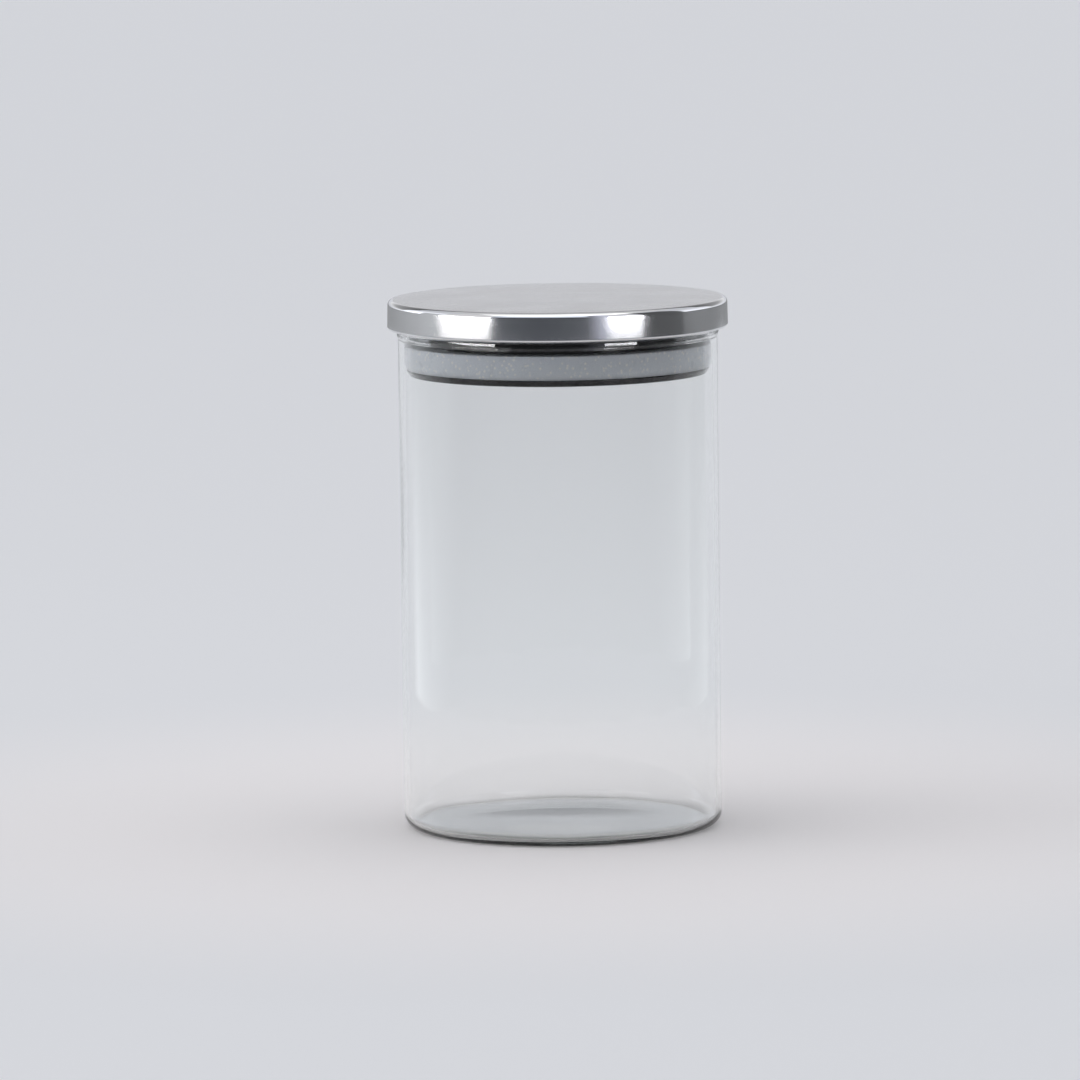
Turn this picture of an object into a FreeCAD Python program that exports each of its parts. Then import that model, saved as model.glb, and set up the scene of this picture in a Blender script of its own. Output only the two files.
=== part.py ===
import FreeCAD, Part
import math
import os

# Lidded glass canister: a straight glass jar closed by a push-in lid.
# Millimetres, +Z up. The origin is the centre of the base, on the surface that the jar stands on.
# Every piece is turned about Z from a closed outline of (radius, height) corners.

# ---- driving dimensions ------------------------------------------------------------------------------
jar_radius = 50.0            # outside of the straight wall
jar_height = 156.9           # base to the top of the lip
wall = 1.7                   # glass wall thickness
floor_thickness = 2.0        # glass floor at the middle of its foot
base_corner = 4.5            # outside rounding between wall and base
floor_corner = 2.6           # inside rounding between wall and floor
foot_radius = 38.0           # inner edge of the flat ring that the jar stands on
push_up = 0.4                # rise of the underside at its centre
bead = 0.3                   # how far the fire-polished lip stands out from the wall
bead_height = 1.8            # height of the thickened lip
bead_slope = 0.8             # height over which the wall swells into the lip
bead_blend = 1.0             # rounding at both ends of that slope

cap_radius = 53.2            # outside of the steel skirt
cap_height = 9.1             # skirt and top together
cap_lift = 0.3               # lowest point of the hem above the glass lip
sheet = 0.5                  # steel thickness
cap_edge = 1.6               # outside rounding between top and skirt
hem_width = 2.7              # width of the rolled-in hem
hem_height = 2.8             # how far the hem's inner leg comes back up
hem_round = 0.85             # outside rounding of the hem

seat_gap = 0.15              # between the glass lip and the seat of the lid
neck_radius = 40.0           # plug body between the seat and the seal
neck_wall = 2.0              # wall of the plug body
plate = 2.0                  # thickness of the plug body's flat walls
rim_wall = 1.8               # wall of the plug body's outer rim, inside the skirt
seat_radius = 50.3           # outer edge of the seat on the lip
step_radius = 41.4           # small step that locates the seal from above
step_height = 0.7            # thickness of that step
rib_count = 12               # ribs that back the steel top
rib_width = 1.2              # thickness of a rib

seal_gap = 0.2               # between the seal and the glass
seal_depth = 4.35            # top face of the seal below the glass lip
seal_height = 7.5            # top face to bottom edge of the seal
seal_wall = 1.35             # thickness of the seal's outer wall and roof
seal_collar = 1.45           # thickness of the seal's collar round the plug
seal_bend = 1.55             # height of the part of the flank that turns inwards
seal_draw = 0.7              # how far the flank comes in at the bottom edge
flank_round = 4.6            # outside rounding of the flank where it turns inwards
seal_edge = 0.35             # rounding of the seal's upper edge
seal_hem = 0.15              # rounding of the seal's thin lower edge

retainer_thickness = 2.0     # bottom plate, at its rim
retainer_radius = 47.5       # upper edge of the bottom plate's rim
retainer_taper = 1.0         # how far the rim narrows to its lower edge
middle_thickness = 1.2       # bottom plate, inside its snap ring
recess_radius = 34.0         # shallow recess in the underside
recess_depth = 0.6           # depth of that recess
recess_slope = 1.0           # width of the slope round the recess
rim_round = 0.6              # rounding of the bottom plate's lower edge
spigot_height = 5.2          # snap ring that goes up inside the plug body
spigot_wall = 1.7            # thickness of the snap ring
snap_rise = 2.9              # height of the snap bead above the bottom plate
snap_bead = 0.4              # how far the snap bead stands out

touch = 0.05                 # clearance between pieces that are fitted together by hand
soft = 0.3                   # usual rounding of a moulded edge

# ---- worked out from them ----------------------------------------------------------------------------
bore_radius = jar_radius - wall
seat = jar_height + seat_gap
cap_bottom = jar_height + cap_lift
cap_top = cap_bottom + cap_height
cap_inside = cap_radius - sheet
cap_ceiling = cap_top - sheet
bore_of_plug = neck_radius - neck_wall
seal_radius = bore_radius - seal_gap
seal_top = jar_height - seal_depth
seal_bottom = seal_top - seal_height
retainer_top = seal_bottom - touch
retainer_bottom = retainer_top - retainer_thickness
snap_height = retainer_top + snap_rise


def corner_points(before, corner, after):
    """The start, middle and end of the tangent arc that rounds a corner (radius, height, rounding)."""
    r, z, rounding = corner
    to_before = FreeCAD.Vector(before[0] - r, 0, before[1] - z).normalize()
    to_after = FreeCAD.Vector(after[0] - r, 0, after[1] - z).normalize()
    half_angle = to_before.getAngle(to_after) / 2
    tip = FreeCAD.Vector(r, 0, z)
    reach = rounding / math.tan(half_angle)
    bisector = (to_before + to_after).normalize()
    middle = tip + bisector * (rounding / math.sin(half_angle) - rounding)
    return tip + to_before * reach, middle, tip + to_after * reach


def turned(corners):
    """A solid turned about Z from a closed outline. Each corner is (radius, height) or
    (radius, height, rounding)."""
    edges = []
    ends = []
    for index, corner in enumerate(corners):
        before = corners[index - 1]
        after = corners[(index + 1) % len(corners)]
        if len(corner) == 3:
            start, middle, end = corner_points(before, corner, after)
            edges.append(Part.Arc(start, middle, end).toShape())
        else:
            start = end = FreeCAD.Vector(corner[0], 0, corner[1])
        ends.append((start, end))
    for index, (start, end) in enumerate(ends):
        previous_end = ends[index - 1][1]
        if (start - previous_end).Length > 1e-6:
            edges.append(Part.makeLine(previous_end, start))
    outline = Part.Wire(Part.sortEdges(edges)[0])
    axis = FreeCAD.Vector(0, 0, 1)
    return Part.Face(outline).revolve(FreeCAD.Vector(0, 0, 0), axis, 360)


def make_glass_jar():
    """Straight wall, thick rounded base with a slight push-up, and a fire-polished lip."""
    lip_radius = jar_radius + bead
    lip_round = 0.98 * (lip_radius - bore_radius) / 2
    lip_start = jar_height - bead_height
    jar = turned([
        (0, 0),
        (jar_radius, 0, base_corner),
        (jar_radius, lip_start - bead_slope, bead_blend),
        (lip_radius, lip_start, bead_blend),
        (lip_radius, jar_height, lip_round),
        (bore_radius, jar_height, lip_round),
        (bore_radius, floor_thickness, floor_corner),
        (0, floor_thickness),
    ])
    dome_radius = (foot_radius ** 2 + push_up ** 2) / (2 * push_up)
    dome = Part.makeSphere(dome_radius, FreeCAD.Vector(0, 0, push_up - dome_radius))
    return jar.cut(dome)


def make_steel_cap():
    """Pressed sheet cover whose skirt ends in a rolled-in hem under the plug body's rim."""
    hem_inside = cap_radius - hem_width
    inner_round = hem_round - sheet
    return turned([
        (0, cap_top),
        (cap_radius, cap_top, cap_edge),
        (cap_radius, cap_bottom, hem_round),
        (hem_inside, cap_bottom, hem_round),
        (hem_inside, cap_bottom + hem_height),
        (hem_inside + sheet, cap_bottom + hem_height),
        (hem_inside + sheet, cap_bottom + sheet, inner_round),
        (cap_inside, cap_bottom + sheet, inner_round),
        (cap_inside, cap_ceiling, cap_edge - sheet),
        (0, cap_ceiling),
    ])


def make_lid_insert():
    """Hollow plug body: closed top, seat on the lip, upright rim inside the skirt, neck and seal groove."""
    rim_outside = cap_inside - touch
    shelf = cap_bottom + hem_height + touch
    ceiling = cap_ceiling - touch
    seat_top = seat + plate
    groove_top = seal_top + touch
    step_top = groove_top + step_height
    body = turned([
        (0, ceiling),
        (neck_radius, ceiling, soft),
        (neck_radius, seat_top, soft),
        (seat_radius - rim_wall, seat_top, soft),
        (seat_radius - rim_wall, shelf + rim_wall, soft),
        (rim_outside - rim_wall, shelf + rim_wall, soft),
        (rim_outside - rim_wall, ceiling),
        (rim_outside, ceiling, cap_edge - sheet + soft),
        (rim_outside, shelf, soft),
        (seat_radius, shelf, soft),
        (seat_radius, seat, soft),
        (neck_radius, seat, soft),
        (neck_radius, step_top, soft),
        (step_radius, step_top, soft),
        (step_radius, groove_top),
        (neck_radius, groove_top),
        (neck_radius, seal_bottom),
        (bore_of_plug, seal_bottom),
        (bore_of_plug, snap_height - snap_bead - touch),
        (bore_of_plug + snap_bead, snap_height),
        (bore_of_plug, snap_height + snap_bead + touch),
        (bore_of_plug, ceiling - plate, soft),
        (0, ceiling - plate),
    ])
    rib_start = neck_radius - neck_wall / 2
    rib_end = seat_radius - rim_wall / 2
    rib = Part.makeBox(
        rib_end - rib_start, rib_width, ceiling - seat_top + plate / 2,
        FreeCAD.Vector(rib_start, -rib_width / 2, seat_top - plate / 2),
    )
    ribs = []
    for number in range(rib_count):
        one = rib.copy()
        one.rotate(FreeCAD.Vector(0, 0, 0), FreeCAD.Vector(0, 0, 1), number * 360 / rib_count)
        ribs.append(one)
    return body.fuse(ribs).removeSplitter()


def make_seal_ring():
    """Soft ring with an open arch section: a collar round the plug, a roof, and a flank against the glass."""
    collar_inside = neck_radius + touch
    collar_outside = collar_inside + seal_collar
    flank_inside = seal_radius - seal_wall
    bend = seal_bottom + seal_bend
    return turned([
        (collar_inside, seal_top),
        (seal_radius, seal_top, seal_edge),
        (seal_radius, bend, flank_round),
        (seal_radius - seal_draw, seal_bottom, seal_hem),
        (flank_inside - seal_draw, seal_bottom, seal_hem),
        (flank_inside, bend, flank_round - seal_wall),
        (flank_inside, seal_top - seal_wall, soft),
        (collar_outside, seal_top - seal_wall, soft),
        (collar_outside, seal_bottom),
        (collar_inside, seal_bottom),
    ])


def make_seal_retainer():
    """Bottom plate of the plug: its rim holds the seal up, and its snap ring clips into the plug body."""
    spigot_outside = bore_of_plug - touch
    spigot_inside = spigot_outside - spigot_wall
    recess = retainer_bottom + recess_depth
    inner_floor = recess + middle_thickness
    return turned([
        (0, recess),
        (recess_radius, recess, soft),
        (recess_radius + recess_slope, retainer_bottom, soft),
        (retainer_radius - retainer_taper, retainer_bottom, rim_round),
        (retainer_radius, retainer_top - soft, soft),
        (retainer_radius - soft / 2, retainer_top),
        (spigot_outside, retainer_top),
        (spigot_outside, snap_height - snap_bead),
        (spigot_outside + snap_bead - touch, snap_height),
        (spigot_outside, snap_height + snap_bead),
        (spigot_outside, retainer_top + spigot_height, soft),
        (spigot_inside, retainer_top + spigot_height, soft),
        (spigot_inside, inner_floor, soft),
        (0, inner_floor),
    ])


sub_parts = {
    "glass_jar": make_glass_jar(),
    "steel_cap": make_steel_cap(),
    "lid_insert": make_lid_insert(),
    "seal_ring": make_seal_ring(),
    "seal_retainer": make_seal_retainer(),
}

os.makedirs("parts", exist_ok=True)
for node, shape in sub_parts.items():
    shape.exportStep(f"parts/{node}.step")
    box = shape.BoundBox
    print(
        f"{node}: {len(shape.Solids)} solid, valid {shape.isValid()}, {shape.Volume / 1000:.1f} cm3,"
        f" radius {box.XMax:.2f}, height {box.ZMin:.2f} to {box.ZMax:.2f}"
    )
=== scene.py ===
import math

import bpy
import numpy as np
from mathutils import Matrix, Vector


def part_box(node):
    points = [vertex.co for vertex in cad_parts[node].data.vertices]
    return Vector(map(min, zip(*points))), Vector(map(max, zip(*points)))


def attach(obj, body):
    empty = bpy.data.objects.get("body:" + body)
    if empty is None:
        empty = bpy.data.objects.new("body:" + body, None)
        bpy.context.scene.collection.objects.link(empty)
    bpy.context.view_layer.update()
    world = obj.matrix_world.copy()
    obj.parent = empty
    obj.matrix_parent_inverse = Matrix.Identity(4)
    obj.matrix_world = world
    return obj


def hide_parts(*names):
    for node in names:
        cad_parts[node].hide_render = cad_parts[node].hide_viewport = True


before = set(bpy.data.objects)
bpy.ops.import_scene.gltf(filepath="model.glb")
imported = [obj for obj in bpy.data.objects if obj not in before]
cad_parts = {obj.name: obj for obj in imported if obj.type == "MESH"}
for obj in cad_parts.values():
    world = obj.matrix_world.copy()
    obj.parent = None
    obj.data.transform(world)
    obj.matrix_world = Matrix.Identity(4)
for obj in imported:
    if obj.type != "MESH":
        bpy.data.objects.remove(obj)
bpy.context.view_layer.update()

# Each piece is a mesh turned about Z, finer than the CAD solid that it stands for. Lengths are in metres.
MM = 0.001
SEGMENTS = 192                 # steps round the axis
ARC_STEP = math.radians(10)    # largest turn of an outline between two points of a rounding
LONGEST_RUN = 3 * MM           # straight stretches of an outline are divided to this length
CRISP = 0.1 * MM               # rounding of a corner that has no other
ON_AXIS = 1e-7                 # a point nearer the axis than this is on it
NEAR_AXIS = 0.5 * MM           # slopes round the axis are worked out no nearer to it than this
NUDGE = 1e-9                   # keeps points at the same place apart where slopes are worked out


# ---- sizes: outer ones from the frame, hidden ones by name ---------------------------------------------
jar_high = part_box("glass_jar")[1]
cap_low, cap_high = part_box("steel_cap")
seal_low, seal_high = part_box("seal_ring")

LIP_TOP = jar_high.z
LIP_RADIUS = jar_high.x
BEAD = 0.3 * MM
BEAD_HEIGHT = 1.8 * MM
BEAD_SLOPE = 0.8 * MM
BEAD_BLEND = 1.0 * MM
LIP_SLOPE = 1.35 * MM          # height over which the lip's outer face is drawn in
LIP_DRAW = 0.2 * MM            # how far it comes in
LIP_OUTER_EDGE = 0.6 * MM
LIP_INNER_EDGE = 0.5 * MM
JAR_RADIUS = LIP_RADIUS - BEAD
WALL = 1.7 * MM
BORE_RADIUS = JAR_RADIUS - WALL
FLOOR = 2.0 * MM
BASE_CORNER = 4.5 * MM
FLOOR_CORNER = 2.6 * MM
FOOT_RADIUS = 38 * MM
PUSH_UP = 0.4 * MM

CAP_RADIUS = cap_high.x
CAP_TOP = cap_high.z
CAP_BOTTOM = cap_low.z
SHEET = 0.5 * MM
CAP_EDGE = 1.6 * MM
HEM_ROUND = 0.85 * MM
HEM_WIDTH = 2.7 * MM
HEM_HEIGHT = 2.8 * MM
SKIRT_DRAFT = 0.10 * MM        # how far the skirt stands out at its foot, and back at its top
CROWN = 0.36 * MM              # rise of the top at its centre

NECK_RADIUS = 40 * MM

SEAL_RADIUS = seal_high.x
SEAL_TOP = seal_high.z
SEAL_BOTTOM = seal_low.z
SEAL_WALL = 1.35 * MM
SEAL_COLLAR = 1.45 * MM
SEAL_BEND = 1.55 * MM
SEAL_DRAW = 0.7 * MM
FLANK_ROUND = 4.6 * MM
SEAL_TOP_EDGE = 0.35 * MM
SEAL_LOW_EDGE = 0.15 * MM
SEAL_INNER_EDGE = 0.3 * MM
SEAL_CLEARANCE = 0.05 * MM     # between the seal and the plug body


# ---- turned meshes -------------------------------------------------------------------------------------
def right_of(direction):
    return Vector((direction.y, -direction.x))


def outline_points(corners, closed):
    """Points and outward normals, as (radius, height), along an outline.
    Its (radius, height, rounding) corners run anticlockwise round the solid's section, so that outwards is
    to its right."""
    points = []
    normals = []
    count = len(corners)
    for index, corner in enumerate(corners):
        here = Vector(corner[:2])
        before = Vector(corners[index - 1][:2])
        after = Vector(corners[(index + 1) % count][:2])
        if not closed and index in (0, count - 1):
            points.append(here)
            normals.append(right_of((after - here) if index == 0 else (here - before)).normalized())
            continue
        arrive = (here - before).normalized()
        leave = (after - here).normalized()
        turn = math.atan2(arrive.x * leave.y - arrive.y * leave.x, arrive.dot(leave))
        rounding = corner[2] if len(corner) == 3 else CRISP
        side = math.copysign(rounding, turn)
        start = here - arrive * rounding * math.tan(abs(turn) / 2)
        centre = start - right_of(arrive) * side
        steps = max(2, math.ceil(abs(turn) / ARC_STEP))
        for step in range(steps + 1):
            direction = Matrix.Rotation(turn * step / steps, 2) @ arrive
            points.append(centre + right_of(direction) * side)
            normals.append(right_of(direction))
    return divided(points, normals, closed)


def divided(points, normals, closed):
    """The same outline with its long straight stretches divided evenly."""
    out_points = []
    out_normals = []
    count = len(points)
    for index in range(count if closed else count - 1):
        start, end = points[index], points[(index + 1) % count]
        first, last = normals[index], normals[(index + 1) % count]
        parts = max(1, math.ceil((end - start).length / LONGEST_RUN))
        for part in range(parts):
            share = part / parts
            out_points.append(start.lerp(end, share))
            out_normals.append(first.lerp(last, share).normalized())
    if not closed:
        out_points.append(points[-1])
        out_normals.append(normals[-1])
    return np.array(out_points), np.array(out_normals)


def distance_along(points):
    """How far along its outline each point lies."""
    return np.cumsum(np.r_[0, np.linalg.norm(np.diff(points, axis=0), axis=1)])


def turned(name, corners, relief, closed=False):
    """A piece turned about Z. relief(radius, height, angle, normal) is how far its surface stands out."""
    points, normals = outline_points(corners, closed)
    angle = np.arange(SEGMENTS) * 2 * math.pi / SEGMENTS
    radius = np.repeat(points[:, :1], SEGMENTS, axis=1)
    height = np.repeat(points[:, 1:], SEGMENTS, axis=1)
    place = np.stack([radius * np.cos(angle), radius * np.sin(angle), height], axis=-1)
    outward = np.stack([
        normals[:, :1] * np.cos(angle), normals[:, :1] * np.sin(angle),
        np.repeat(normals[:, 1:], SEGMENTS, axis=1),
    ], axis=-1)
    along = np.stack([
        -normals[:, 1:] * np.cos(angle), -normals[:, 1:] * np.sin(angle),
        np.repeat(normals[:, :1], SEGMENTS, axis=1),
    ], axis=-1)
    around = np.stack([-np.sin(angle), np.cos(angle), 0 * angle], axis=-1)[None]
    rise = relief(radius, height, angle[None, :], normals[:, None, :])
    travel = distance_along(points) + np.arange(len(points)) * NUDGE
    slope_along = np.gradient(rise, travel, axis=0)
    spread = np.maximum(radius, NEAR_AXIS) * 4 * math.pi / SEGMENTS
    slope_around = (np.roll(rise, -1, axis=1) - np.roll(rise, 1, axis=1)) / spread
    place = place + outward * rise[..., None]
    outward = outward - along * slope_along[..., None] - around * slope_around[..., None]
    outward = outward / np.linalg.norm(outward, axis=-1, keepdims=True)
    return mesh_from_rows(name, place, outward, points, closed)


def mesh_from_rows(name, place, outward, points, closed):
    """A mesh of quads over rows of points round the axis. A row on the axis becomes one point."""
    rows, segments = place.shape[:2]
    verts = []
    vert_normals = []
    first_of_row = []
    on_axis = points[:, 0] < ON_AXIS
    for row in range(rows):
        first_of_row.append(len(verts))
        keep = 1 if on_axis[row] else segments
        verts.extend(place[row, :keep].tolist())
        if on_axis[row]:
            vert_normals.append([0, 0, math.copysign(1, outward[row, 0, 2])])
        else:
            vert_normals.extend(outward[row].tolist())
    faces = []
    face_uvs = []
    travel = distance_along(points)
    length = travel[-1] + np.linalg.norm(points[0] - points[-1]) * closed
    for row in range(rows if closed else rows - 1):
        below = first_of_row[row]
        above = first_of_row[(row + 1) % rows]
        v_below = travel[row] / length
        v_above = travel[row + 1] / length if row + 1 < rows else 1.0
        for step in range(segments):
            turn = (step + 1) % segments
            u, u_next = step / segments, (step + 1) / segments
            if on_axis[row]:
                faces.append((below, above + turn, above + step))
                face_uvs.extend([((u + u_next) / 2, v_below), (u_next, v_above), (u, v_above)])
            elif on_axis[(row + 1) % rows]:
                faces.append((below + step, below + turn, above))
                face_uvs.extend([(u, v_below), (u_next, v_below), ((u + u_next) / 2, v_above)])
            else:
                faces.append((below + step, below + turn, above + turn, above + step))
                face_uvs.extend([(u, v_below), (u_next, v_below), (u_next, v_above), (u, v_above)])
    mesh = bpy.data.meshes.new(name)
    mesh.from_pydata(verts, [], faces)
    mesh.polygons.foreach_set("use_smooth", [True] * len(faces))
    mesh.uv_layers.new(name="UVMap").data.foreach_set("uv", np.array(face_uvs, float).ravel())
    mesh.normals_split_custom_set_from_vertices(vert_normals)
    piece = bpy.data.objects.new(name, mesh)
    bpy.context.scene.collection.objects.link(piece)
    return piece


def swell(value, low, high):
    """0 below low, 1 above high, and a smooth rise between them."""
    share = np.clip((value - low) / (high - low), 0, 1)
    return share * share * (3 - 2 * share)


def waves(angle, height, turns, pitch, phase):
    """A gentle ripple with so many crests round the axis and that pitch along it."""
    return np.cos(turns * angle + 2 * math.pi * height / pitch + phase)


# ---- the pieces ----------------------------------------------------------------------------------------
def glass_relief(radius, height, angle, normal):
    """Push-up under the base, the floor that follows it, and the slight unevenness of blown glass."""
    upright = np.abs(normal[..., 0])
    inside = np.clip(1 - (radius / FOOT_RADIUS) ** 2, 0, 1) ** 2
    under = (normal[..., 1] < -0.99) * inside * -PUSH_UP
    floor = (normal[..., 1] > 0.99) * (height < 2 * FLOOR) * inside * 0.4 * PUSH_UP
    draw = 0.010 * waves(angle, height, 5, 0.21, 0.4) + 0.006 * waves(angle, -height, 9, 0.13, 2.1)
    draw = draw + 0.003 * waves(angle, height, 17, 0.31, 1.2)
    near_base = 1 - swell(height, 0, 0.014)
    pulled = 0.03 * waves(angle, height, 4, 0.017, 0.9) + 0.02 * waves(angle, -height, 7, 0.011, 2.6)
    return under + floor + upright * MM * (draw + near_base * pulled)


def make_glass_jar():
    swell_top = LIP_TOP - BEAD_HEIGHT
    return turned("canister_glass", [
        (0, 0),
        (JAR_RADIUS, 0, BASE_CORNER),
        (JAR_RADIUS, swell_top - BEAD_SLOPE, BEAD_BLEND),
        (LIP_RADIUS, swell_top, BEAD_BLEND),
        (LIP_RADIUS, LIP_TOP - LIP_SLOPE, BEAD_BLEND),
        (LIP_RADIUS - LIP_DRAW, LIP_TOP, LIP_OUTER_EDGE),
        (BORE_RADIUS, LIP_TOP, LIP_INNER_EDGE),
        (BORE_RADIUS, FLOOR, FLOOR_CORNER),
        (0, FLOOR),
    ], glass_relief)


def cap_relief(radius, height, angle, normal):
    """The pressed skirt has a slight draft and isn't quite even round the lid. Its top is crowned."""
    outside = np.maximum(normal[..., 0], 0) * (radius > CAP_RADIUS - 1.05 * CAP_EDGE)
    share = np.clip((height - CAP_BOTTOM) / (CAP_TOP - CAP_BOTTOM), 0, 1)
    draft = SKIRT_DRAFT * (1 - 2 * share)
    on_top = np.maximum(normal[..., 1], 0) * (height > CAP_TOP - 0.05 * MM)
    crown = CROWN * np.clip(1 - (radius / (CAP_RADIUS - CAP_EDGE)) ** 5, 0, 1)
    uneven = 0.006 * waves(angle, height, 11, 0.05, 0.3) + 0.004 * waves(angle, -height, 19, 0.03, 1.9)
    return outside * (draft + MM * uneven * (1 - np.abs(2 * share - 1))) + on_top * crown


def make_steel_cap():
    hem_inside = CAP_RADIUS - HEM_WIDTH
    inside = CAP_RADIUS - SHEET
    ceiling = CAP_TOP - SHEET
    return turned("lid_steel_cap", [
        (0, ceiling),
        (inside, ceiling, CAP_EDGE - SHEET),
        (inside, CAP_BOTTOM + SHEET, HEM_ROUND - SHEET),
        (hem_inside + SHEET, CAP_BOTTOM + SHEET, HEM_ROUND - SHEET),
        (hem_inside + SHEET, CAP_BOTTOM + HEM_HEIGHT),
        (hem_inside, CAP_BOTTOM + HEM_HEIGHT),
        (hem_inside, CAP_BOTTOM, HEM_ROUND),
        (CAP_RADIUS, CAP_BOTTOM, HEM_ROUND),
        (CAP_RADIUS, CAP_TOP, CAP_EDGE),
        (0, CAP_TOP),
    ], cap_relief)


def seal_relief(radius, height, angle, normal):
    """Soft silicone doesn't lie perfectly round: its flank wavers a little."""
    flank = np.maximum(normal[..., 0], 0) * (radius > SEAL_RADIUS - 2 * MM)
    waver = 0.015 * waves(angle, height, 3, 0.03, 0.7) + 0.01 * waves(angle, -height, 8, 0.02, 2.2)
    return flank * MM * waver


def make_seal_ring():
    collar_inside = NECK_RADIUS + SEAL_CLEARANCE
    collar_outside = collar_inside + SEAL_COLLAR
    flank_inside = SEAL_RADIUS - SEAL_WALL
    roof = SEAL_TOP - SEAL_WALL
    bend = SEAL_BOTTOM + SEAL_BEND
    return turned("lid_seal_ring", [
        (collar_inside, SEAL_BOTTOM),
        (collar_outside, SEAL_BOTTOM),
        (collar_outside, roof, SEAL_INNER_EDGE),
        (flank_inside, roof, SEAL_INNER_EDGE),
        (flank_inside, bend, FLANK_ROUND - SEAL_WALL),
        (flank_inside - SEAL_DRAW, SEAL_BOTTOM, SEAL_LOW_EDGE),
        (SEAL_RADIUS - SEAL_DRAW, SEAL_BOTTOM, SEAL_LOW_EDGE),
        (SEAL_RADIUS, bend, FLANK_ROUND),
        (SEAL_RADIUS, SEAL_TOP, SEAL_TOP_EDGE),
        (collar_inside, SEAL_TOP),
    ], seal_relief, closed=True)


# ---- materials -----------------------------------------------------------------------------------------
def feed(links, socket, value):
    """Give a socket a number, or the output of another node."""
    if isinstance(value, (int, float)):
        socket.default_value = value
    else:
        links.new(value, socket)


def maths(tree, operation, a, b):
    node = tree.nodes.new("ShaderNodeMath")
    node.operation = operation
    feed(tree.links, node.inputs[0], a)
    feed(tree.links, node.inputs[1], b)
    return node.outputs["Value"]


def ranged(tree, value, from_low, from_high, to_low, to_high):
    node = tree.nodes.new("ShaderNodeMapRange")
    node.inputs["From Min"].default_value = from_low
    node.inputs["From Max"].default_value = from_high
    node.inputs["To Min"].default_value = to_low
    node.inputs["To Max"].default_value = to_high
    tree.links.new(value, node.inputs["Value"])
    return node.outputs["Result"]


class Surface:
    """A node-based material round one Principled shader, with small helpers for its texture nodes."""

    def __init__(self, name, **settings):
        self.material = bpy.data.materials.new(name)
        self.material.use_nodes = True
        self.tree = self.material.node_tree
        self.nodes = self.tree.nodes
        self.links = self.tree.links
        self.nodes.clear()
        self.output = self.nodes.new("ShaderNodeOutputMaterial")
        self.shader = self.nodes.new("ShaderNodeBsdfPrincipled")
        self.links.new(self.shader.outputs["BSDF"], self.output.inputs["Surface"])
        self.place = self.nodes.new("ShaderNodeTexCoord").outputs["Object"]
        for socket, value in settings.items():
            self.shader.inputs[socket.replace("_", " ")].default_value = value

    def stretched(self, x, y, z):
        mapping = self.nodes.new("ShaderNodeMapping")
        mapping.inputs["Scale"].default_value = (x, y, z)
        self.links.new(self.place, mapping.inputs["Vector"])
        return mapping.outputs["Vector"]

    def noise(self, scale, detail=3.0, roughness=0.5, place=None):
        """Noise whose features are about 1/scale metres across."""
        node = self.nodes.new("ShaderNodeTexNoise")
        node.inputs["Scale"].default_value = scale
        node.inputs["Detail"].default_value = detail
        node.inputs["Roughness"].default_value = roughness
        self.links.new(place or self.place, node.inputs["Vector"])
        return node.outputs["Fac"]

    def specks(self, scale, size):
        """1 inside small scattered dots, 0 elsewhere."""
        cells = self.nodes.new("ShaderNodeTexVoronoi")
        cells.inputs["Scale"].default_value = scale
        self.links.new(self.place, cells.inputs["Vector"])
        return self.ranged(cells.outputs["Distance"], size, size * 0.5, 0, 1)

    def ranged(self, value, from_low, from_high, to_low, to_high):
        return ranged(self.tree, value, from_low, from_high, to_low, to_high)

    def maths(self, operation, a, b):
        return maths(self.tree, operation, a, b)

    def between(self, factor, low, high):
        """low where factor is 0, high where it is 1."""
        node = self.nodes.new("ShaderNodeMix")
        self.links.new(factor, node.inputs["Factor"])
        feed(self.links, node.inputs["A"], low)
        feed(self.links, node.inputs["B"], high)
        return node.outputs["Result"]

    def mixed(self, factor, low, high):
        """A colour between two colours."""
        node = self.nodes.new("ShaderNodeMix")
        node.data_type = "RGBA"
        self.links.new(factor, node.inputs["Factor"])
        for socket, value in (("A", low), ("B", high)):
            target = [s for s in node.inputs if s.name == socket and s.type == "RGBA"][0]
            if isinstance(value, tuple):
                target.default_value = (*value, 1)
            else:
                self.links.new(value, target)
        return [s for s in node.outputs if s.type == "RGBA"][0]

    def radius_and_height(self):
        """Distance from the axis and height, in metres."""
        split = self.nodes.new("ShaderNodeSeparateXYZ")
        self.links.new(self.place, split.inputs["Vector"])
        x, y, z = split.outputs
        across = self.maths("MULTIPLY", x, x)
        deep = self.maths("MULTIPLY", y, y)
        return self.maths("SQRT", self.maths("ADD", across, deep), 0), z

    def drive(self, socket, value):
        self.links.new(value, self.shader.inputs[socket])

    def bump(self, value, depth):
        """Relief of that depth, in metres, from a value between 0 and 1."""
        node = self.nodes.new("ShaderNodeBump")
        node.inputs["Distance"].default_value = depth
        self.links.new(value, node.inputs["Height"])
        self.links.new(node.outputs["Normal"], self.shader.inputs["Normal"])


def clear_glass():
    """Borosilicate glass: nearly colourless, faintly smudged, green-grey where light runs along it."""
    glass = Surface("borosilicate_glass", Transmission_Weight=1.0, IOR=1.474)
    smudge = glass.noise(38, detail=5, roughness=0.6)
    glass.drive("Roughness", glass.ranged(smudge, 0.45, 0.75, 0.0, 0.02))
    dust = glass.specks(900, 0.05)
    glass.drive("Base Color", glass.mixed(dust, (0.992, 0.997, 0.995), (0.9, 0.9, 0.9)))
    absorb = glass.nodes.new("ShaderNodeVolumeAbsorption")
    absorb.inputs["Color"].default_value = (0.62, 0.88, 0.80, 1)
    absorb.inputs["Density"].default_value = 4.0
    glass.links.new(absorb.outputs["Volume"], glass.output.inputs["Volume"])
    return glass.material


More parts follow.
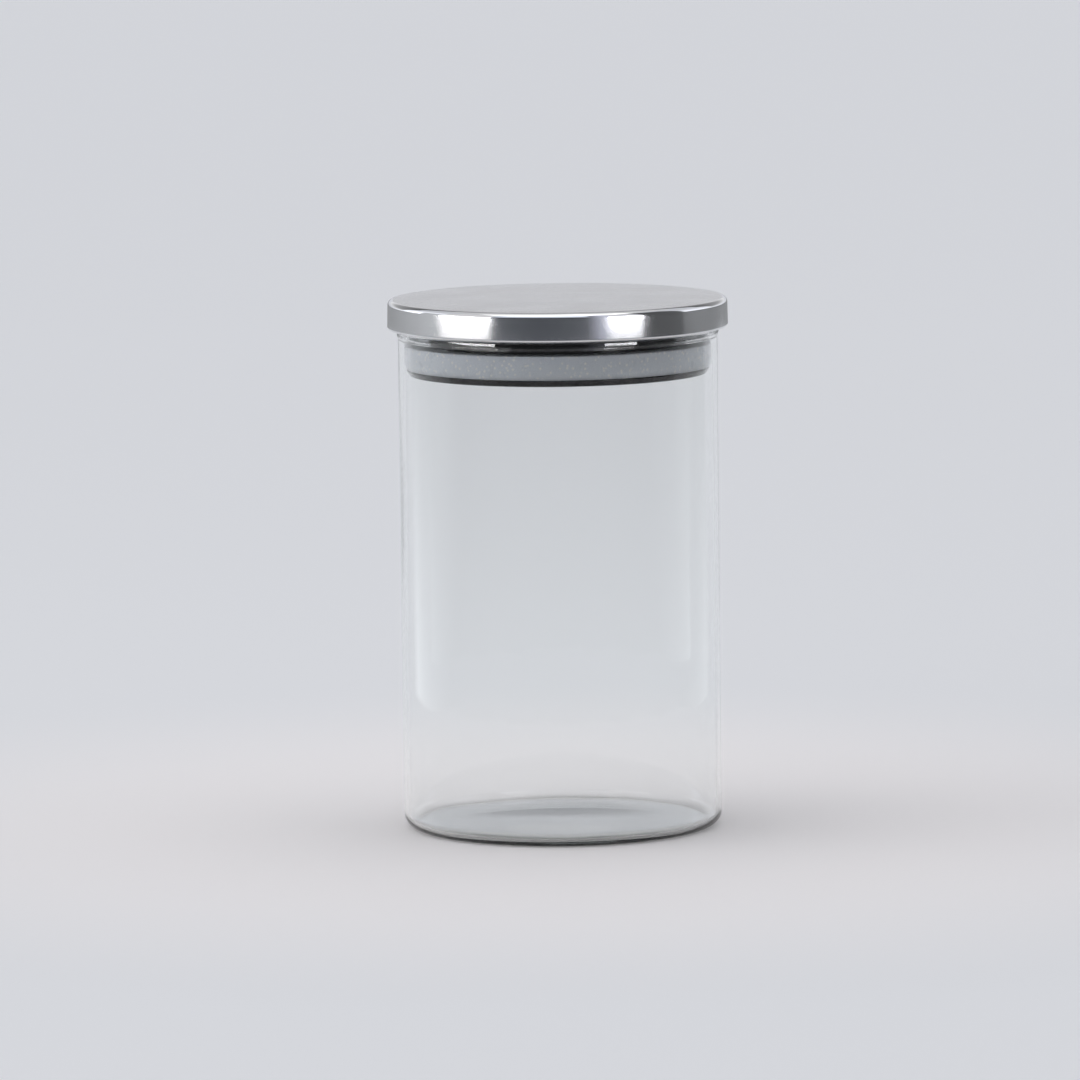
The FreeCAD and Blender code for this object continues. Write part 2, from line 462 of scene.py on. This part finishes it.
def satin_steel():
    """Stainless steel: fine satin grain on the flat top, brighter and smoother on the skirt."""
    steel = Surface("stainless_steel", Metallic=1.0)
    radius, height = steel.radius_and_height()
    on_top = steel.ranged(radius, CAP_RADIUS - 1.1 * CAP_EDGE, CAP_RADIUS - 0.8 * CAP_EDGE, 1, 0)
    grain = steel.noise(5200, detail=2, roughness=0.6)
    cloud = steel.noise(60, detail=4)
    streaks = steel.noise(300, detail=3, place=steel.stretched(1, 1, 12))
    top_grain = steel.ranged(grain, 0.3, 0.7, 0.24, 0.34)
    top_rough = steel.maths("ADD", top_grain, steel.ranged(cloud, 0.3, 0.7, -0.02, 0.02))
    skirt_streaks = steel.ranged(streaks, 0.3, 0.7, 0.14, 0.18)
    skirt_rough = steel.maths("ADD", skirt_streaks, steel.ranged(cloud, 0.3, 0.7, -0.01, 0.02))
    rounding = steel.ranged(height, CAP_TOP - 1.2 * CAP_EDGE, CAP_TOP - 0.8 * CAP_EDGE, 0, 1)
    edge_rough = steel.between(rounding, skirt_rough, 0.08)
    steel.drive("Roughness", steel.between(on_top, edge_rough, top_rough))
    skirt_tone = steel.mixed(cloud, (0.70, 0.70, 0.715), (0.74, 0.74, 0.75))
    steel.drive("Base Color", steel.mixed(on_top, skirt_tone, (0.88, 0.87, 0.88)))
    steel.bump(steel.maths("MULTIPLY", grain, steel.between(on_top, 0.3, 1.0)), 0.004 * MM)
    return steel.material


def black_plastic():
    """Glossy black moulded plastic with the faint orange-peel of a polished mould."""
    plastic = Surface("black_plastic", IOR=1.5)
    fine = plastic.noise(900, detail=3)
    wide = plastic.noise(70, detail=4)
    plastic.drive("Base Color", plastic.mixed(wide, (0.005, 0.005, 0.006), (0.008, 0.008, 0.009)))
    plastic.drive("Roughness", plastic.ranged(wide, 0.3, 0.7, 0.10, 0.18))
    plastic.bump(fine, 0.004 * MM)
    return plastic.material


def clear_silicone():
    """Translucent silicone: light spreads through it, and pale dust sticks to it."""
    silicone = Surface("clear_silicone", IOR=1.42, Subsurface_Weight=1.0, Subsurface_Scale=4 * MM)
    silicone.shader.inputs["Subsurface Radius"].default_value = (1.0, 1.0, 1.0)
    cloud = silicone.noise(240, detail=5, roughness=0.65)
    dust = silicone.specks(700, 0.34)
    tone = silicone.mixed(cloud, (0.76, 0.81, 0.89), (0.82, 0.86, 0.93))
    silicone.drive("Base Color", silicone.mixed(dust, tone, (0.98, 0.98, 0.98)))
    silicone.drive("Subsurface Weight", silicone.ranged(dust, 0, 1, 1.0, 0.2))
    silicone.drive("Roughness", silicone.ranged(cloud, 0.3, 0.7, 0.24, 0.36))
    silicone.bump(silicone.noise(2600, detail=3), 0.01 * MM)
    return silicone.material


def dress(piece, material):
    piece.data.materials.clear()
    piece.data.materials.append(material)


jar = make_glass_jar()
cap = make_steel_cap()
seal = make_seal_ring()
plastic = black_plastic()
dress(jar, clear_glass())
dress(cap, satin_steel())
dress(seal, clear_silicone())
for node in ("lid_insert", "seal_retainer"):
    for material_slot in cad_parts[node].material_slots:
        material_slot.material = plastic

for piece, body, node, finish_slot in (
    (jar, "jar", "glass_jar", "clear_glass"),
    (cap, "lid", "steel_cap", "satin_steel"),
    (seal, "lid", "seal_ring", "clear_silicone"),
):
    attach(piece, body)
    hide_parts(node)


# ---- stage, light and camera ---------------------------------------------------------------------------
SKY_COLOUR = (0.655, 0.672, 0.715, 1)
SKY_LIGHT = 1.05
LEFT_WINDOW = 4.6
RIGHT_WINDOW = 1.4
FRONT_SHADE = 0.9
WINDOW_FADE = 1.6                 # how fast the windows fade with height

FLOOR_SIZE = 60
FLOOR_GAP = 0.05 * MM             # keeps the floor clear of the glass that stands on it
SOFTBOX_WHITE = (1.0, 0.995, 1.0)
SOFTBOX_BLUISH = (0.96, 0.965, 1.0)
EDGE_BLUE = (0.90, 0.93, 1.08)
FLAG_BLUISH = (0.90, 0.97, 1.10)
CARD_WHITE = (0.94, 0.97, 1.0)

# The glass under the lip sees the cards below LIP_SIGHT, and the lid's skirt sees them above it.
CARD_DISTANCE = 0.32
CARD_TOP = 0.5
LIP_SIGHT = LIP_TOP - 26 * MM
WALL_FOOT = CAP_BOTTOM - 30 * MM
WALL_HEAD = CAP_TOP + 4 * MM
FLOOR_GLOW = 0.62
TABLE_TOP = LIP_SIGHT - 1 * MM
TABLE_EDGES = (-79.5, -43.3, -11, 20.5, 54.7, 88)
TABLE_LEVELS = [(0, FLOOR_GLOW), (0.8 * LIP_SIGHT, 0.07), (TABLE_TOP, 0.05)]
TABLE_SIDE_LEVELS = [(0, 1), (TABLE_TOP, 0.45)]
GLINT_DISTANCE = 0.095
GLINT = 18
GLINT_LEVELS = [(LIP_TOP + 6.2 * MM, GLINT), (CAP_TOP - 0.4 * MM, GLINT)]


def flat_panel(name, centre, width, height, facing, material):
    """A rectangle at centre, with its face towards the point facing."""
    mesh = bpy.data.meshes.new(name)
    x, y = width / 2, height / 2
    mesh.from_pydata([(-x, -y, 0), (x, -y, 0), (x, y, 0), (-x, y, 0)], [], [(0, 1, 2, 3)])
    mesh.materials.append(material)
    panel = bpy.data.objects.new(name, mesh)
    bpy.context.scene.collection.objects.link(panel)
    panel.location = centre
    panel.rotation_euler = (Vector(facing) - Vector(centre)).to_track_quat("Z", "Y").to_euler()
    return panel


def floor_paper():
    """Pale matt paper. Near the object a pool of warmer, brighter light is painted into its colour."""
    paper = Surface("floor_paper", Specular_IOR_Level=0.1)
    tooth = paper.noise(700, detail=4)
    radius, _ = paper.radius_and_height()
    # Painted light: within about 0.12 to 0.34 m of the axis the paper's colour turns lighter and warmer,
    # standing in for a pool of light round the object.
    far = paper.ranged(radius, 0.12, 0.34, 0, 1)
    far.node.interpolation_type = "SMOOTHSTEP"
    painted_light_near_tone = paper.mixed(tooth, (0.985, 0.945, 0.920), (0.995, 0.955, 0.930))
    far_tone = paper.mixed(tooth, (0.885, 0.880, 0.875), (0.895, 0.890, 0.885))
    paper.drive("Base Color", paper.mixed(far, painted_light_near_tone, far_tone))
    paper.drive("Roughness", paper.ranged(tooth, 0.3, 0.7, 0.85, 0.95))
    paper.bump(tooth, 0.02 * MM)
    return paper.material


def area_light(name, centre, width, height, facing, brightness, colour):
    """A rectangular studio light of that brightness over its face."""
    light = bpy.data.lights.new(name, "AREA")
    light.shape = "RECTANGLE"
    light.size = width
    light.size_y = height
    light.energy = brightness * math.pi * width * height
    light.color = colour
    lamp = bpy.data.objects.new(name, light)
    bpy.context.scene.collection.objects.link(lamp)
    lamp.location = centre
    lamp.rotation_euler = (Vector(facing) - Vector(centre)).to_track_quat("-Z", "Y").to_euler()
    lamp.visible_camera = False
    return lamp


def reflecting_card(name, centre, width, height, facing, levels, left=1.0, right=1.0, colour=(1, 1, 1)):
    """A studio card that only shows in shiny surfaces. Its levels are (share of its height, brightness)
    stops from the bottom edge up. left and right scale them at its sides, as seen from the object."""
    card = bpy.data.materials.new(name)
    card.use_nodes = True
    tree = card.node_tree
    nodes, links = tree.nodes, tree.links
    nodes.clear()
    place = nodes.new("ShaderNodeSeparateXYZ")
    links.new(nodes.new("ShaderNodeTexCoord").outputs["Object"], place.inputs["Vector"])
    side = ranged(tree, place.outputs["X"], width / 2, -width / 2, left, right)
    share = ranged(tree, place.outputs["Y"], -height / 2, height / 2, 0, 1)
    peak = max(level for _, level in levels)
    ramp = nodes.new("ShaderNodeValToRGB")
    stops = ramp.color_ramp.elements
    while len(stops) < len(levels):
        stops.new(1)
    for stop, (position, _) in zip(stops, levels):
        stop.position = position
    for stop, (_, level) in zip(stops, levels):
        stop.color = (level / peak, level / peak, level / peak, 1)
    links.new(share, ramp.inputs["Fac"])
    glow = nodes.new("ShaderNodeEmission")
    glow.inputs["Color"].default_value = (*colour, 1)
    sideways = maths(tree, "MULTIPLY", side, ramp.outputs["Color"])
    links.new(maths(tree, "MULTIPLY", sideways, peak), glow.inputs["Strength"])
    nothing = nodes.new("ShaderNodeBsdfTransparent")
    reflections = nodes.new("ShaderNodeLightPath").outputs["Glossy Depth"]
    chosen = nodes.new("ShaderNodeMixShader")
    links.new(reflections, chosen.inputs[0])
    links.new(nothing.outputs["BSDF"], chosen.inputs[1])
    links.new(glow.outputs["Emission"], chosen.inputs[2])
    links.new(chosen.outputs["Shader"], nodes.new("ShaderNodeOutputMaterial").inputs["Surface"])
    panel = flat_panel(name, centre, width, height, facing, card)
    panel.visible_camera = False
    panel.visible_diffuse = False
    panel.visible_shadow = False
    return panel


def round_the_object(azimuth, distance, height):
    """A point at that azimuth, in degrees to the right of the camera's side."""
    turn = math.radians(azimuth)
    return Vector((distance * math.sin(turn), -distance * math.cos(turn), height))


def standing_card(name, from_azimuth, to_azimuth, levels, left=1.0, right=1.0, colour=CARD_WHITE,
                  distance=CARD_DISTANCE):
    """An upright reflecting card, square to the object, across that range of azimuths.
    Its levels are (height in metres, brightness) stops."""
    low, high = levels[0][0], levels[-1][0]
    middle = (low + high) / 2
    shares = [((height - low) / (high - low), level) for height, level in levels]
    centre = round_the_object((from_azimuth + to_azimuth) / 2, distance, middle)
    width = 2 * distance * math.tan(math.radians(to_azimuth - from_azimuth) / 2)
    return reflecting_card(name, centre, width, high - low, (0, 0, middle), shares, left, right, colour)


def even(low, high):
    """Levels of a card of one brightness."""
    return [(low, 1), (high, 1)]


def softbox(lower):
    """Levels of a softbox that fades towards its top."""
    return [(LIP_SIGHT, lower), (0.21, lower), (0.26, 0.8), (0.5, 0.9)]


flat_panel("floor", (0, 0, -FLOOR_GAP), FLOOR_SIZE, FLOOR_SIZE, (0, 0, 1), floor_paper())
key = area_light("key_left", centre=(-1.0, -0.1, 1.0), width=0.7, height=0.8, facing=(0, 0, 0.05),
                 brightness=0.45, colour=(1.0, 0.98, 0.97))
key.visible_glossy = False
key.visible_transmission = False

# Above LIP_SIGHT: two softboxes, with dark flags between and beside them.
standing_card("softbox_left", -79.5, -43.3, softbox(1.6), colour=SOFTBOX_WHITE)
standing_card("softbox_right", 33.0, 54.7, softbox(1.5), colour=SOFTBOX_BLUISH)
standing_card("softbox_right_edge", 20.5, 33.0, even(LIP_SIGHT, CARD_TOP), 0.28, 0.95, colour=EDGE_BLUE)
standing_card("flag_front", -43.3, 20.5,
              [(LIP_SIGHT, 0.20), (0.150, 0.095), (0.172, 0.08), (0.186, 0.01), (0.215, 0.01),
               (0.26, 0.7), (0.5, 1.3)],
              colour=FLAG_BLUISH)
standing_card("flag_right", 54.7, 88, even(LIP_SIGHT, CARD_TOP), 0.10, 0.13)

# Close by and ending below the lid's top: the glints on the glass lip, which the top doesn't see.
standing_card("glint_left", -65.0, -34.2, GLINT_LEVELS, colour=SOFTBOX_WHITE, distance=GLINT_DISTANCE)
standing_card("glint_right", 25.2, 43.6, GLINT_LEVELS, colour=SOFTBOX_BLUISH, distance=GLINT_DISTANCE)

# Below LIP_SIGHT: a dim table that fades to the floor's own brightness.
for number, (start, end) in enumerate(zip(TABLE_EDGES, TABLE_EDGES[1:])):
    standing_card(f"table_front_{number + 1}", start, end, TABLE_LEVELS)
standing_card("table_left", -125, -79.5, TABLE_SIDE_LEVELS, 1.4, 0.5)
standing_card("table_right", 88, 125, TABLE_SIDE_LEVELS, 0.5, 1.0)

# Walls beside and behind, at the lid's height.
for name, start, end, left, right in (
    ("wall_right", 88, 140, 0.24, 0.30),
    ("wall_right_back", 140, 178, 0.30, 0.36),
    ("wall_left", -140, -99, 0.38, 0.56),
    ("wall_left_back", -178, -140, 0.32, 0.38),
):
    standing_card(name, start, end, even(WALL_FOOT, WALL_HEAD), left, right)
standing_card("wall_left_front", -99, -79.5, even(WALL_FOOT, 0.28), 0.60, 0.66)
reflecting_card("softbox_above_front", (0, -0.56, 1.2), 1.36, 0.93, (0, -0.56, 0), [(0, 2.2), (1, 2.2)])
reflecting_card("softbox_above_back", (0, 0.34, 1.2), 1.36, 0.81, (0, 0.34, 0), [(0, 0.75), (1, 0.75)])
reflecting_card("wall_back", (0, 1.6, 1.1), 4.0, 1.4, (0, 0, 1.1), [(0, 0.95), (0.22, 0.42), (1, 0.05)],
                colour=(0.97, 0.98, 1))


def pale_surroundings():
    """Even pale light, with brighter low windows to the left and right and less from the front."""
    world = bpy.data.worlds.new("pale_surroundings")
    bpy.context.scene.world = world
    world.use_nodes = True
    tree = world.node_tree
    direction = tree.nodes.new("ShaderNodeSeparateXYZ")
    tree.links.new(tree.nodes.new("ShaderNodeTexCoord").outputs["Generated"], direction.inputs["Vector"])
    x, y, z = direction.outputs

    def towards(azimuth, amount):
        """That amount in the direction of the azimuth, falling to nothing at its sides."""
        aim = round_the_object(azimuth, 1, 0)
        facing = maths(tree, "ADD", maths(tree, "MULTIPLY", x, aim.x), maths(tree, "MULTIPLY", y, aim.y))
        facing = maths(tree, "MAXIMUM", facing, 0)
        return maths(tree, "MULTIPLY", maths(tree, "MULTIPLY", facing, facing), amount)

    low = maths(tree, "SUBTRACT", 1, maths(tree, "MINIMUM", maths(tree, "MULTIPLY", z, WINDOW_FADE), 1))
    windows = maths(tree, "ADD", towards(-72, LEFT_WINDOW), towards(90, RIGHT_WINDOW))
    brightness = maths(tree, "ADD", SKY_LIGHT, maths(tree, "MULTIPLY", windows, low))
    brightness = maths(tree, "SUBTRACT", brightness, towards(0, FRONT_SHADE))
    background = tree.nodes["Background"]
    background.inputs["Color"].default_value = SKY_COLOUR
    tree.links.new(brightness, background.inputs["Strength"])


pale_surroundings()

CAMERA_DISTANCE = 2.7
CAMERA_HEIGHT = 0.413
CAMERA_ROLL = math.radians(-0.68)
AIM = Vector((-0.0063, 0, 0.0901))
SENSOR_WIDTH = 36
LENS = 289
FARTHEST_SEEN = 100

scene = bpy.context.scene
camera_data = bpy.data.cameras.new("camera")
camera_data.sensor_width = SENSOR_WIDTH
camera_data.lens = LENS
camera_data.clip_end = FARTHEST_SEEN
camera = bpy.data.objects.new("camera", camera_data)
scene.collection.objects.link(camera)
camera.location = (0, -CAMERA_DISTANCE, CAMERA_HEIGHT)
aim = (AIM - camera.location).to_track_quat("-Z", "Y").to_matrix().to_4x4()
camera.matrix_world = Matrix.Translation(camera.location) @ aim @ Matrix.Rotation(CAMERA_ROLL, 4, "Z")
scene.camera = camera

scene.view_settings.view_transform = "Standard"
scene.cycles.max_bounces = 32
scene.cycles.transmission_bounces = 32
scene.cycles.glossy_bounces = 12
